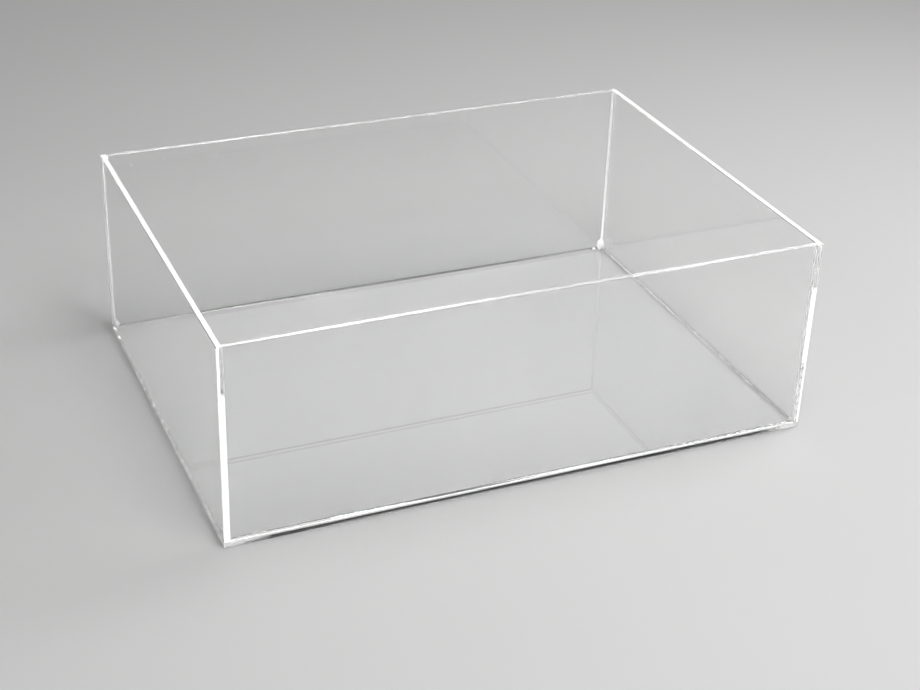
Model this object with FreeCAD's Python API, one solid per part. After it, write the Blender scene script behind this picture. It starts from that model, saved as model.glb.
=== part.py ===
import FreeCAD, Part
import os

# Open-topped storage box of clear cast acrylic sheet, solvent welded from five panels.
# Millimetres. Origin at the middle of the underside, X along the length, Y to the back, Z up.

# Overall size
length = 310.0
depth = 224.0
height = 106.0

# Sheet thickness of the walls and of the base
wall_sheet = 3.0
base_sheet = 3.0

# Bevel scraped and polished along every open edge
arris = 0.3

# Concave fillet of cement left in each inside corner
seam_radius = 0.9

# How far a cutting block runs past the faces that it doesn't shape
overrun = 1.0

# Sizes that follow from those above
inner_length = length - 2 * wall_sheet
inner_depth = depth - 2 * wall_sheet
wall_height = height - base_sheet
seam_top = base_sheet + seam_radius
rim_bevel_bottom = height - arris


def slab(size, low):
    """Rectangular block of the given size with its lowest corner at low."""
    return Part.makeBox(*size, FreeCAD.Vector(*low))


def centred_slab(size_x, size_y, low_z, high_z):
    """Block between two heights, centred on the Z axis."""
    return slab((size_x, size_y, high_z - low_z), (-size_x / 2, -size_y / 2, low_z))


def outer_form():
    """The whole box as one block, with the arris along all its outer edges."""
    block = centred_slab(length, depth, 0, height)
    return block.makeChamfer(arris, block.Edges)


def mouth_flare():
    """Block with sloping sides that bevels the inner edge of the rim and runs on above it."""
    rise = 2 * arris
    block = centred_slab(inner_length + 2 * rise, inner_depth + 2 * rise, rim_bevel_bottom, height + rise)
    lower_edges = [edge for edge in block.Edges if edge.BoundBox.ZMax < height]
    return block.makeChamfer(rise, lower_edges)


def cut_panels():
    """The five sheets: walls stand on the base, and the front and back fit between the sides."""
    side_size = (wall_sheet, depth, wall_height)
    end_size = (inner_length, wall_sheet, wall_height)
    blanks = {
        "base_panel": centred_slab(length, depth, 0, base_sheet),
        "left_panel": slab(side_size, (-length / 2, -depth / 2, base_sheet)),
        "right_panel": slab(side_size, (inner_length / 2, -depth / 2, base_sheet)),
        "front_panel": slab(end_size, (-inner_length / 2, -depth / 2, base_sheet)),
        "back_panel": slab(end_size, (-inner_length / 2, inner_depth / 2, base_sheet)),
    }
    form = outer_form()
    flare = mouth_flare()
    return {name: blank.common(form).cut(flare) for name, blank in blanks.items()}


def cement_fillets():
    """What the cement fills between the square inside of the panels and its rounded surface."""
    cavity = centred_slab(inner_length, inner_depth, base_sheet, rim_bevel_bottom)
    welded_edges = [edge for edge in cavity.Edges if edge.BoundBox.ZMin < seam_top]
    return cavity.cut(cavity.makeFillet(seam_radius, welded_edges))


def base_seam_zone(along_x, side):
    """Block round one inside edge of the base, mitred where that side's seam meets its neighbours."""
    far_x = inner_length / 2 + overrun
    far_y = inner_depth / 2 + overrun
    near_x = inner_length / 2 - seam_radius - overrun
    near_y = inner_depth / 2 - seam_radius - overrun
    if along_x:
        plan = [(-far_x, far_y), (far_x, far_y), (near_x, near_y), (-near_x, near_y)]
    else:
        plan = [(far_x, -far_y), (far_x, far_y), (near_x, near_y), (near_x, -near_y)]
    points = [FreeCAD.Vector(side * x, side * y, seam_top) for x, y in plan]
    face = Part.Face(Part.makePolygon(points + points[:1]))
    return face.extrude(FreeCAD.Vector(0, 0, -seam_radius - overrun))


def corner_seam_zone(side_x, side_y):
    """Upright block round one inside corner, above the base seams."""
    width = 2 * (seam_radius + overrun)
    block = centred_slab(width, width, seam_top, height + overrun)
    block.translate(FreeCAD.Vector(side_x * inner_length / 2, side_y * inner_depth / 2, 0))
    return block


def seams():
    """Cement seams: four along the base and four up the corners."""
    cement = cement_fillets()
    zones = {
        "front_base_seam": base_seam_zone(True, -1),
        "back_base_seam": base_seam_zone(True, 1),
        "left_base_seam": base_seam_zone(False, -1),
        "right_base_seam": base_seam_zone(False, 1),
    }
    for end, side_y in (("front", -1), ("back", 1)):
        for hand, side_x in (("left", -1), ("right", 1)):
            zones[f"{end}_{hand}_corner_seam"] = corner_seam_zone(side_x, side_y)
    return {name: cement.common(zone) for name, zone in zones.items()}


def main():
    os.makedirs("parts", exist_ok=True)
    nodes = {**cut_panels(), **seams()}
    for name, shape in nodes.items():
        solid = shape.Solids[0]
        solid.exportStep(f"parts/{name}.step")


main()
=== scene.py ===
import math
import random

import bmesh
import bpy
from mathutils import Matrix, Vector, noise


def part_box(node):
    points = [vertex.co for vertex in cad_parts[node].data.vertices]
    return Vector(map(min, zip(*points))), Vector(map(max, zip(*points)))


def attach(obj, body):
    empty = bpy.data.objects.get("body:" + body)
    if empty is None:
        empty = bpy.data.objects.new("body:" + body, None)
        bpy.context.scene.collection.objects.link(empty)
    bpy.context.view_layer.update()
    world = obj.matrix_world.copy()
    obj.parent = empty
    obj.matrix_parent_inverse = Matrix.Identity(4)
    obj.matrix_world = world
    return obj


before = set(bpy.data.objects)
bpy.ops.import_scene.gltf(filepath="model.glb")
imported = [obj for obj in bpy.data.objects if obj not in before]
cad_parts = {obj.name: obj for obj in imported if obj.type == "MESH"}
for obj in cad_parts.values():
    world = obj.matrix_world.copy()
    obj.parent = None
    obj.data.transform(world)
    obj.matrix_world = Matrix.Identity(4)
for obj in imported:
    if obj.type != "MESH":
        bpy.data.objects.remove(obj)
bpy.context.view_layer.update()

MM = 0.001

# Sizes of the box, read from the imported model
_, base_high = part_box("base_panel")
front_low, front_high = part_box("front_panel")
seam_low, seam_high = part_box("front_base_seam")
outer_half = Vector((base_high.x, base_high.y, front_high.z / 2))
inner_x = front_high.x
inner_y = -front_high.y
base_top = base_high.z
rim_z = front_high.z
seam_radius = seam_high.z - seam_low.z

# Ways that a face can look
TO_LEFT = (-1.0, 0.0, 0.0)
TO_RIGHT = (1.0, 0.0, 0.0)
TO_FRONT = (0.0, -1.0, 0.0)
TO_BACK = (0.0, 1.0, 0.0)
UPWARD = (0.0, 0.0, 1.0)

# How squarely a face has to look one way: flat faces alone, with bevels, or with the bevels' corners
FLAT = 0.9
WITH_BEVELS = 0.6
WITH_CORNERS = 0.5

# How far outside a face the two tests for a welded joint look
LOOK_PAST_BEVEL = 0.5 * MM
LOOK_PAST_FACE = 0.005 * MM

# Cast acrylic, and the cement, which is acrylic too
ACRYLIC_IOR = 1.49
SHEET_TONE = 0.986
EDGE_ROUGHNESS = 0.05
CEMENT_ROUGHNESS = 0.05

# How fine the mottling of each surface is, in noise cells per metre
EDGE_GRAIN = 600.0
CEMENT_GRAIN = 500.0
FILM_GRAIN = 400.0
DROP_GRAIN = 900.0
FLOOR_GRAIN = 2.0

# Most of a noise texture's values lie between these two
NOISE_LOW = 0.3
NOISE_HIGH = 0.7

# A lamp's brightness at its middle, over its mean
LAMP_PEAK = 3.33

# Cement films in the joints: their thickness, their distance from the faces beside them, and their steps
FILM_THICKNESS = 0.06 * MM
FILM_LIFT = 0.05 * MM
STATIONS = 80


class Graph:
    """Adds nodes to one node tree and links them."""

    def __init__(self, tree):
        self.tree = tree
        tree.nodes.clear()

    def add(self, kind, inputs=None, **settings):
        made = self.tree.nodes.new(kind)
        for name, value in settings.items():
            setattr(made, name, value)
        for name, value in (inputs or {}).items():
            self.feed(made.inputs[name], value)
        return made

    def feed(self, socket, value):
        if isinstance(value, bpy.types.NodeSocket):
            self.tree.links.new(value, socket)
        else:
            socket.default_value = value

    def math(self, operation, a, b=0.0, c=0.0):
        made = self.add("ShaderNodeMath", {0: a, 1: b, 2: c}, operation=operation)
        return made.outputs[0]

    def vector(self, operation, a, b=(0.0, 0.0, 0.0)):
        made = self.add("ShaderNodeVectorMath", {0: a, 1: b}, operation=operation)
        return made.outputs["Value" if operation in ("LENGTH", "DOT_PRODUCT") else "Vector"]

    def scaled(self, a, factor):
        made = self.add("ShaderNodeVectorMath", {0: a, "Scale": factor}, operation="SCALE")
        return made.outputs["Vector"]

    def part(self, vector, axis):
        made = self.add("ShaderNodeSeparateXYZ", {"Vector": vector})
        return made.outputs[axis]

    def ranged(self, value, low, high, to_low, to_high, smooth=False):
        made = self.add(
            "ShaderNodeMapRange",
            {"Value": value, "From Min": low, "From Max": high, "To Min": to_low, "To Max": to_high},
            interpolation_type="SMOOTHSTEP" if smooth else "LINEAR",
        )
        return made.outputs["Result"]

    def mix(self, share, a, b):
        made = self.add("ShaderNodeMix", {0: share, 2: a, 3: b})
        return made.outputs[0]

    def mottled(self, place, grain, detail, low, high):
        """A value that varies over the surface between low and high."""
        made = self.add("ShaderNodeTexNoise", {"Vector": place, "Scale": grain, "Detail": detail})
        return self.ranged(made.outputs["Fac"], NOISE_LOW, NOISE_HIGH, low, high)

    def place(self):
        return self.add("ShaderNodeTexCoord").outputs["Object"]

    def grey(self, shade):
        made = self.add("ShaderNodeCombineColor", {"Red": shade, "Green": shade, "Blue": shade})
        return made.outputs["Color"]

    def finish(self, inputs):
        shader = self.add("ShaderNodeBsdfPrincipled", inputs)
        self.add("ShaderNodeOutputMaterial", {"Surface": shader.outputs["BSDF"]})


class Surface:
    """A solid's node tree, with the shaded point's place and the way out of the solid there."""

    def __init__(self, graph):
        self.graph = graph
        self.place = graph.place()
        geometry = graph.add("ShaderNodeNewGeometry")
        side = graph.math("MULTIPLY_ADD", geometry.outputs["Backfacing"], -2.0, 1.0)
        self.outward = graph.scaled(geometry.outputs["True Normal"], side)

    def along(self, axis):
        return self.graph.part(self.place, axis)

    def facing(self, way, least):
        """1 on faces that look one way, 0 on the others."""
        squareness = self.graph.vector("DOT_PRODUCT", self.outward, way)
        return self.graph.math("GREATER_THAN", squareness, least)

    def ahead(self, distance):
        """The point at a distance outside the shaded one."""
        return self.graph.vector("ADD", self.place, self.graph.scaled(self.outward, distance))

    def exposed(self):
        """0 on a face that is welded to the next piece, 1 where air lies outside it."""
        graph = self.graph
        middle = Vector((0.0, 0.0, outer_half.z))
        past_bevel = self.ahead(LOOK_PAST_BEVEL)
        from_middle = graph.vector("ABSOLUTE", graph.vector("SUBTRACT", past_bevel, middle))
        outside = graph.vector("MAXIMUM", graph.vector("SUBTRACT", from_middle, outer_half))
        in_box = graph.math("LESS_THAN", graph.vector("LENGTH", outside), LOOK_PAST_FACE)

        past_face = self.ahead(LOOK_PAST_FACE)
        spread = graph.vector("ABSOLUTE", graph.vector("MULTIPLY", past_face, (1.0, 1.0, 0.0)))
        drop = graph.vector("MULTIPLY", past_face, (0.0, 0.0, -1.0))
        corner = Vector((seam_radius - inner_x, seam_radius - inner_y, seam_radius + base_top))
        from_corner = graph.vector("ADD", graph.vector("ADD", spread, drop), corner)
        into_corner = graph.vector("MAXIMUM", from_corner)
        off_cavity = graph.math("GREATER_THAN", graph.vector("LENGTH", into_corner), seam_radius)
        return graph.math("SUBTRACT", 1.0, graph.math("MULTIPLY", in_box, off_cavity))


def new_material(name):
    material = bpy.data.materials.new(name)
    material.use_nodes = True
    return material, Graph(material.node_tree)


def wall_edge_tone(surface):
    """The white of a sawn and scraped wall edge, a little uneven."""
    return surface.graph.mottled(surface.place, EDGE_GRAIN, detail=3.0, low=0.86, high=0.98)


def base_edge_painted_shade(surface):
    """Painted shade on the base's edges: mid grey on the side and back edges, the front edge nearly black
    towards its top and lighter at its foot, with painted light near the front corners.
    """
    graph = surface.graph
    # painted shade: these tones darken the base's edges, the front one most, in place of shade
    other_edges = 0.55
    front_corners = 0.8
    front_foot = 0.35
    front_top = 0.002
    front = graph.ranged(surface.along("Z"), 0.03 * base_top, 0.35 * base_top, front_foot, front_top)
    spread = graph.math("ABSOLUTE", surface.along("X"))
    # painted light: the front edge is made lighter near the corners
    near_corner = graph.ranged(spread, 0.87 * inner_x, 0.97 * inner_x, 0.0, 1.0)
    front_edge = graph.mix(near_corner, front, front_corners)
    return graph.mix(surface.facing(TO_FRONT, WITH_CORNERS), other_edges, front_edge)


def rim_frost(surface):
    """The lightly scraped rim of the front and back walls."""
    rim_white = 0.18
    return surface.graph.math("MULTIPLY", surface.facing(UPWARD, FLAT), rim_white)


def base_painted_light(surface):
    """Painted light on the base's edges: white near the front corners and near the back left corner."""
    graph = surface.graph
    front_white = 0.35
    left_white = 0.3
    spread = graph.math("ABSOLUTE", surface.along("X"))
    # painted light: white patches that stand in for light coming out of the sheet's edges
    at_corner = graph.ranged(spread, 0.91 * inner_x, 0.96 * inner_x, 0.0, front_white)
    front = graph.math("MULTIPLY", surface.facing(TO_FRONT, WITH_BEVELS), at_corner)
    at_back = graph.ranged(surface.along("Y"), 0.8 * inner_y, 0.95 * inner_y, 0.0, left_white)
    return graph.math("MULTIPLY_ADD", surface.facing(TO_LEFT, WITH_BEVELS), at_back, front)


def side_frost_and_painted_light(surface):
    """The side walls' cut edges, frosted white on the rims and the back ends, with painted light on the
    front ends: white but for the top of both front ends and the foot of the right one.
    """
    graph = surface.graph
    end_white = 0.95
    top_white = 0.15
    foot_white = 0.2
    rim_white = 0.4
    height = surface.along("Z")
    across = surface.along("X")
    # painted light: the front ends are white where light piped down the sheet shows, nearly clear near the
    # top
    painted_light_below_top = graph.ranged(height, 0.76 * rim_z, 0.78 * rim_z, end_white, top_white)
    at_left_corner = graph.math("LESS_THAN", across, -0.4 * inner_x - 0.6 * base_high.x)
    white = graph.math("MAXIMUM", painted_light_below_top, at_left_corner)
    at_foot = graph.ranged(height, 0.36 * rim_z, 0.38 * rim_z, 1.0, 0.0)
    off_edge = graph.math("COMPARE", across, inner_x, 0.6 * (base_high.x - inner_x))
    front = graph.mix(graph.math("MULTIPLY", at_foot, off_edge), white, foot_white)
    frost_and_painted_light = graph.math("MULTIPLY", surface.facing(TO_FRONT, WITH_BEVELS), front)
    frost_and_painted_light = graph.math("MULTIPLY_ADD", surface.facing(TO_BACK, WITH_BEVELS), end_white, frost_and_painted_light)
    return graph.math("MULTIPLY_ADD", surface.facing(UPWARD, FLAT), rim_white, frost_and_painted_light)


def acrylic(name, sheet_way, edge_tone, frost_and_painted_light):
    """Clear acrylic sheet with dull cut edges, and nothing to see where it is welded. On the base the edge
    tone is painted shade, and on the base and the side walls' front ends part of the white is painted
    light.
    """
    material, graph = new_material(name)
    surface = Surface(graph)
    squareness = graph.math("ABSOLUTE", graph.vector("DOT_PRODUCT", surface.outward, sheet_way))
    on_edge = graph.math("LESS_THAN", squareness, FLAT)
    shade = graph.mix(on_edge, SHEET_TONE, edge_tone(surface))
    graph.finish(
        {
            "Base Color": graph.grey(shade),
            "Roughness": graph.math("MULTIPLY", on_edge, EDGE_ROUGHNESS),
            "IOR": ACRYLIC_IOR,
            "Transmission Weight": graph.math("SUBTRACT", 1.0, frost_and_painted_light(surface)),
            "Alpha": surface.exposed(),
        }
    )
    return material


def even_tone(surface):
    """Clear cement, a little uneven."""
    return surface.graph.mottled(surface.place, CEMENT_GRAIN, detail=3.0, low=0.86, high=0.98)


def soft_tone(surface):
    """Cement that is a little duller."""
    return surface.graph.mottled(surface.place, CEMENT_GRAIN, detail=3.0, low=0.6, high=0.75)


def rising_tone(surface):
    """Cement of an upright seam that grows duller towards the rim."""
    at_foot = 0.88
    at_rim = 0.6
    return surface.graph.ranged(surface.along("Z"), base_top, rim_z, at_foot, at_rim)


def back_seam_painted_shade(surface):
    """Painted shade on the back seam's cement: darkest at the left end, lighter towards the right, a little
    uneven.
    """
    graph = surface.graph
    speck = graph.mottled(surface.place, CEMENT_GRAIN, detail=3.0, low=0.85, high=1.1)
    # painted shade: the seam is darkened, most at the left end
    at_left = 0.12
    at_right = 0.72
    painted_shade_ramp = graph.ranged(surface.along("X"), -inner_x, inner_x, at_left, at_right)
    return graph.math("MULTIPLY", painted_shade_ramp, speck)


def cement(name, clearness, tone):
    """The hardened cement of a seam, with nothing to see where it is welded."""
    material, graph = new_material(name)
    surface = Surface(graph)
    graph.finish(
        {
            "Base Color": graph.grey(tone(surface)),
            "Roughness": CEMENT_ROUGHNESS,
            "IOR": ACRYLIC_IOR,
            "Transmission Weight": clearness,
            "Alpha": surface.exposed(),
        }
    )
    return material


def bond_film(name, low_tone, high_tone):
    """White, finely pitted cement in or on a welded joint."""
    material, graph = new_material(name)
    shade = graph.mottled(graph.place(), FILM_GRAIN, detail=4.0, low=low_tone, high=high_tone)
    graph.finish({"Base Color": graph.grey(shade), "Roughness": 0.8, "Specular IOR Level": 0.0})
    return material


def cement_drop():
    """A cloudy drop of hardened cement."""
    material, graph = new_material("cement_drop")
    graph.finish(
        {
            "Base Color": (0.95, 0.955, 0.95, 1.0),
            "Roughness": graph.mottled(graph.place(), DROP_GRAIN, detail=3.0, low=0.06, high=0.2),
            "IOR": ACRYLIC_IOR,
            "Transmission Weight": 0.4,
        }
    )
    return material


def floor_material():
    material, graph = new_material("pale_floor")
    shade = graph.mottled(graph.place(), FLOOR_GRAIN, detail=2.0, low=0.248, high=0.256)
    graph.finish({"Base Color": graph.grey(shade), "Roughness": 0.4, "Specular IOR Level": 0.1})
    return material


def add_mesh(name, bm, material):
    mesh = bpy.data.meshes.new(name)
    bm.to_mesh(mesh)
    bm.free()
    mesh.materials.append(material)
    made = bpy.data.objects.new(name, mesh)
    bpy.context.scene.collection.objects.link(made)
    return made


def add_cement(name, bm, material):
    piece = add_mesh(name, bm, material)
    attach(piece, "root")


def wander(rng, low, high):
    """One number for each station of a film, drifting between low and high."""
    step = 6
    knots = [rng.uniform(low, high) for _ in range(STATIONS // step + 2)]
    values = []
    for i in range(STATIONS):
        knot, part = divmod(i, step)
        ease = 0.5 - 0.5 * math.cos(math.pi * part / step)
        values.append(knots[knot] * (1 - ease) + knots[knot + 1] * ease)
    return values


def loft(rings):
    """Closed mesh through rings of points, with flat ends."""
    bm = bmesh.new()
    loops = [[bm.verts.new(point) for point in ring] for ring in rings]
    for one, other in zip(loops, loops[1:]):
        for i, vert in enumerate(one):
            bm.faces.new((one[i - 1], vert, other[i], other[i - 1]))
    bm.faces.new(loops[0])
    bm.faces.new(loops[-1])
    bmesh.ops.recalc_face_normals(bm, faces=bm.faces)
    return bm


def add_drop(bm, rng, middle, radii):
    """Adds a lumpy drop to a mesh, flattened where it meets the inside of the box."""
    margin = 0.02 * MM
    lump_height = 0.3
    lumps = 1.6
    shift = Vector(rng.uniform(0.0, 9.0) for _ in range(3))
    for vert in bmesh.ops.create_icosphere(bm, subdivisions=3, radius=1.0)["verts"]:
        swell = 1.0 + lump_height * noise.noise(vert.co * lumps + shift)
        spot = middle + Vector(a * b * swell for a, b in zip(vert.co, radii))
        spot.x = max(margin - inner_x, min(inner_x - margin, spot.x))
        spot.y = max(margin - inner_y, min(inner_y - margin, spot.y))
        spot.z = max(base_top + margin, spot.z)
        vert.co = spot


def dress_solids():
    # the side walls' front ends carry painted light
    side = acrylic("side_acrylic", TO_RIGHT, wall_edge_tone, side_frost_and_painted_light)
    end = acrylic("end_acrylic", TO_BACK, wall_edge_tone, rim_frost)
    clear_seam = cement("clear_cement", clearness=1.0, tone=even_tone)
    finishes = {
        # the base's edges carry painted shade and painted light
        "base_panel": acrylic("base_acrylic", UPWARD, base_edge_painted_shade, base_painted_light),
        "left_panel": side,
        "right_panel": side,
        "front_panel": end,
        "back_panel": end,
        "left_base_seam": cement("soft_cement", clearness=0.85, tone=soft_tone),
        "right_base_seam": cement("milky_cement", clearness=0.7, tone=soft_tone),
        # the back seam carries painted shade
        "back_base_seam": cement("dull_cement", clearness=1.0, tone=back_seam_painted_shade),
        "back_left_corner_seam": cement("cloudy_cement", clearness=0.15, tone=even_tone),
        "back_right_corner_seam": cement("grey_cement", clearness=0.15, tone=rising_tone),
    }
    for name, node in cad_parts.items():
        node.data.materials.clear()
        node.data.materials.append(finishes.get(name, clear_seam))


def add_front_bonds(rng, film, bead):
    """The film of cement under the front wall, and the bead pressed out of that joint."""
    low_z = base_top + FILM_LIFT
    high_z = low_z + FILM_THICKNESS
    front_y = front_low.y + 0.02 * MM
    deepest_y = 0.6 * front_low.y + 0.4 * front_high.y
    skin_y = front_low.y - 0.01 * MM
    inners = wander(rng, 0.0, 0.15 * MM)
    drops = wander(rng, 0.7 * MM, 0.9 * MM)
    bulges = wander(rng, 0.08 * MM, 0.16 * MM)
    film_rings = []
    bead_rings = []
    for i, (inner, drop, bulge) in enumerate(zip(inners, drops, bulges)):
        x = (inner_x - FILM_LIFT) * (2 * i / (STATIONS - 1) - 1)
        back_y = deepest_y - inner
        film_rings.append(
            [
                (x, front_y, low_z),
                (x, back_y, low_z),
                (x, back_y, high_z),
                (x, front_y, high_z),
            ]
        )
        bead_rings.append(
            [
                (x, skin_y, base_top - drop),
                (x, skin_y, base_top + 0.2 * drop),
                (x, skin_y - bulge, base_top + 0.1 * drop),
                (x, skin_y - bulge, base_top - 0.6 * drop),
            ]
        )
    add_cement("front_base_bond", loft(film_rings), film)
    add_cement("front_joint_bead", loft(bead_rings), bead)


def add_corner_bonds(rng, film):
    """The films of cement up the four corners, at the ends of the front and back walls."""
    low_z = base_top + 2 * FILM_LIFT + FILM_THICKNESS
    span = rim_z - 0.5 * MM - low_z
    least_inset = 0.02 * MM
    most_inset = 0.05 * MM
    for end in ("front", "back"):
        low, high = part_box(f"{end}_panel")
        for hand, turn in (("left", -1), ("right", 1)):
            near = turn * (inner_x - FILM_LIFT - FILM_THICKNESS)
            far = turn * (inner_x - FILM_LIFT)
            fores = wander(rng, least_inset, most_inset)
            afts = wander(rng, least_inset, most_inset)
            rings = []
            for i, (fore, aft) in enumerate(zip(fores, afts)):
                z = low_z + span * i / (STATIONS - 1)
                fore_y = low.y + fore
                aft_y = high.y - aft
                rings.append([(near, fore_y, z), (far, fore_y, z), (far, aft_y, z), (near, aft_y, z)])
            add_cement(f"{end}_{hand}_corner_bond", loft(rings), film)


def add_bonds():
    rng = random.Random(7)
    film = bond_film("bond_film", low_tone=0.84, high_tone=0.97)
    bead = bond_film("joint_bead", low_tone=0.46, high_tone=0.58)
    add_front_bonds(rng, film, bead)
    add_corner_bonds(rng, film)


def add_corner_drops(rng, material):
    """A drop of cement in each inside corner of the base."""
    sizes = {
        "back_right": (2.4, 2.4, 3.8),
        "back_left": (1.6, 1.7, 2.6),
        "front_right": (0.9, 0.9, 1.4),
        "front_left": (0.8, 0.8, 1.2),
    }
    for name, size in sizes.items():
        side_x = 1 if "right" in name else -1
        side_y = 1 if "back" in name else -1
        radii = Vector(size) * MM
        x = side_x * (inner_x - 0.7 * radii.x)
        y = side_y * (inner_y - 0.7 * radii.y)
        z = base_top + 0.75 * radii.z
        bm = bmesh.new()
        add_drop(bm, rng, Vector((x, y, z)), radii)
        add_cement(f"{name}_drop", bm, material)


def add_seam_drops(rng, material):
    """Specks of cement along the right base seam, and one drop on the back base seam."""
    speck_count = 6
    speck_stretch = 1.6
    bm = bmesh.new()
    for _ in range(speck_count):
        radius = rng.uniform(0.15, 0.3) * MM
        y = rng.uniform(-0.93, 0.93) * inner_y
        x = inner_x - rng.uniform(0.3, 1.0) * MM
        z = base_top + rng.uniform(0.2, 0.8) * MM
        add_drop(bm, rng, Vector((x, y, z)), Vector((radius, speck_stretch * radius, radius)))
    add_cement("right_seam_specks", bm, material)

    bm = bmesh.new()
    middle = Vector((inner_x - 6.0 * MM, inner_y - 1.2 * MM, base_top + 0.4 * MM))
    add_drop(bm, rng, middle, Vector((1.0, 0.8, 0.8)) * MM)
    add_cement("back_seam_drop", bm, material)


def add_drops():
    rng = random.Random(11)
    material = cement_drop()
    add_corner_drops(rng, material)
    add_seam_drops(rng, material)


def add_floor():
    reach = 12.0
    gap = 0.15 * MM
    bm = bmesh.new()
    bmesh.ops.create_grid(bm, x_segments=4, y_segments=4, size=reach)
    bmesh.ops.translate(bm, verts=bm.verts, vec=(0.0, 0.0, -gap))
    floor = add_mesh("floor", bm, floor_material())


def add_lamp(name, spot, size, watts):
    """A round lamp aimed at the box, fading out towards its rim, with no image in what it shines on."""
    data = bpy.data.lights.new(name, "AREA")
    data.shape = "DISK"
    data.size = size
    data.energy = watts
    data.use_nodes = True
    graph = Graph(data.node_tree)
    across = graph.add("ShaderNodeNewGeometry").outputs["Parametric"]
    off_middle = graph.vector("LENGTH", graph.vector("SUBTRACT", across, (0.5, 0.5, 0.0)))
    glow = graph.ranged(off_middle, 0.0, 0.5, LAMP_PEAK, 0.0, smooth=True)
    emission = graph.add("ShaderNodeEmission", {"Strength": glow})
    graph.add("ShaderNodeOutputLight", {"Surface": emission.outputs["Emission"]})
    lamp = bpy.data.objects.new(name, data)
    lamp.location = spot
    lamp.rotation_euler = (-lamp.location).to_track_quat("-Z", "Y").to_euler()
    lamp.visible_camera = False
    lamp.visible_glossy = False
    bpy.context.scene.collection.objects.link(lamp)


def light_studio():
    """A dome, dim near the horizon and brighter to the left, a lamp at the right and one at the front."""
    warm_white = (1.0, 0.997, 0.99, 1.0)
    left = (-0.9, -0.43, 0.0)
    horizon_glow = 0.3
    dome_glow = 1.05
    top_share = 0.45
    left_glow = 1.1
    world = bpy.data.worlds.new("studio")
    bpy.context.scene.world = world
    world.use_nodes = True
    graph = Graph(world.node_tree)
    way = graph.add("ShaderNodeTexCoord").outputs["Generated"]
    height = graph.part(way, "Z")
    rise = graph.ranged(height, 0.3, 0.54, horizon_glow, dome_glow, smooth=True)
    fall = graph.ranged(height, 0.55, 0.9, 1.0, top_share, smooth=True)
    dome = graph.math("MULTIPLY", rise, fall)
    to_left = graph.vector("DOT_PRODUCT", way, left)
    fill = graph.ranged(to_left, 0.3, 0.95, 0.0, left_glow, smooth=True)
    light = graph.math("ADD", dome, fill)
    background = graph.add("ShaderNodeBackground", {"Color": warm_white, "Strength": light})
    graph.add("ShaderNodeOutputWorld", {"Surface": background.outputs["Background"]})
    add_lamp("side_lamp", spot=(0.6, 0.0, 0.67), size=0.6, watts=7.2)
    add_lamp("front_lamp", spot=(0.05, -0.55, 0.95), size=0.9, watts=15.5)


def add_camera():
    """The photograph's camera, fitted to the edges of the box."""
    photo_width = 920
    focal_pixels = 1752.5
    spot = Vector((-324.9, -757.0, 479.6)) * MM
    yaw, pitch, roll = (math.radians(a) for a in (23.85, 29.18, 1.98))
    forward = Vector((math.sin(yaw) * math.cos(pitch), math.cos(yaw) * math.cos(pitch), -math.sin(pitch)))
    level = Vector((math.cos(yaw), -math.sin(yaw), 0.0))
    upward = level.cross(forward)
    right = level * math.cos(roll) + upward * math.sin(roll)
    up = upward * math.cos(roll) - level * math.sin(roll)
    data = bpy.data.cameras.new("camera")
    data.sensor_width = 36.0
    data.lens = focal_pixels / photo_width * data.sensor_width
    data.clip_start = 0.01
    camera = bpy.data.objects.new("camera", data)
    camera.matrix_world = Matrix((right, up, -forward)).transposed().to_4x4()
    camera.location = spot
    bpy.context.scene.collection.objects.link(camera)
    bpy.context.scene.camera = camera


def set_light_paths():
    """Light runs far inside clear sheet before it leaves an edge, so paths are long."""
    longest_path = 128
    scene = bpy.context.scene
    cycles = scene.cycles
    cycles.max_bounces = longest_path
    cycles.transmission_bounces = longest_path
    cycles.glossy_bounces = longest_path
    cycles.transparent_max_bounces = longest_path
    cycles.caustics_refractive = True
    cycles.caustics_reflective = True
    cycles.blur_glossy = 0.2
    cycles.sample_clamp_indirect = 0.0
    cycles.use_denoising = True
    scene.view_settings.view_transform = "Standard"


dress_solids()
add_bonds()
add_drops()
add_floor()
light_studio()
add_camera()
set_light_paths()
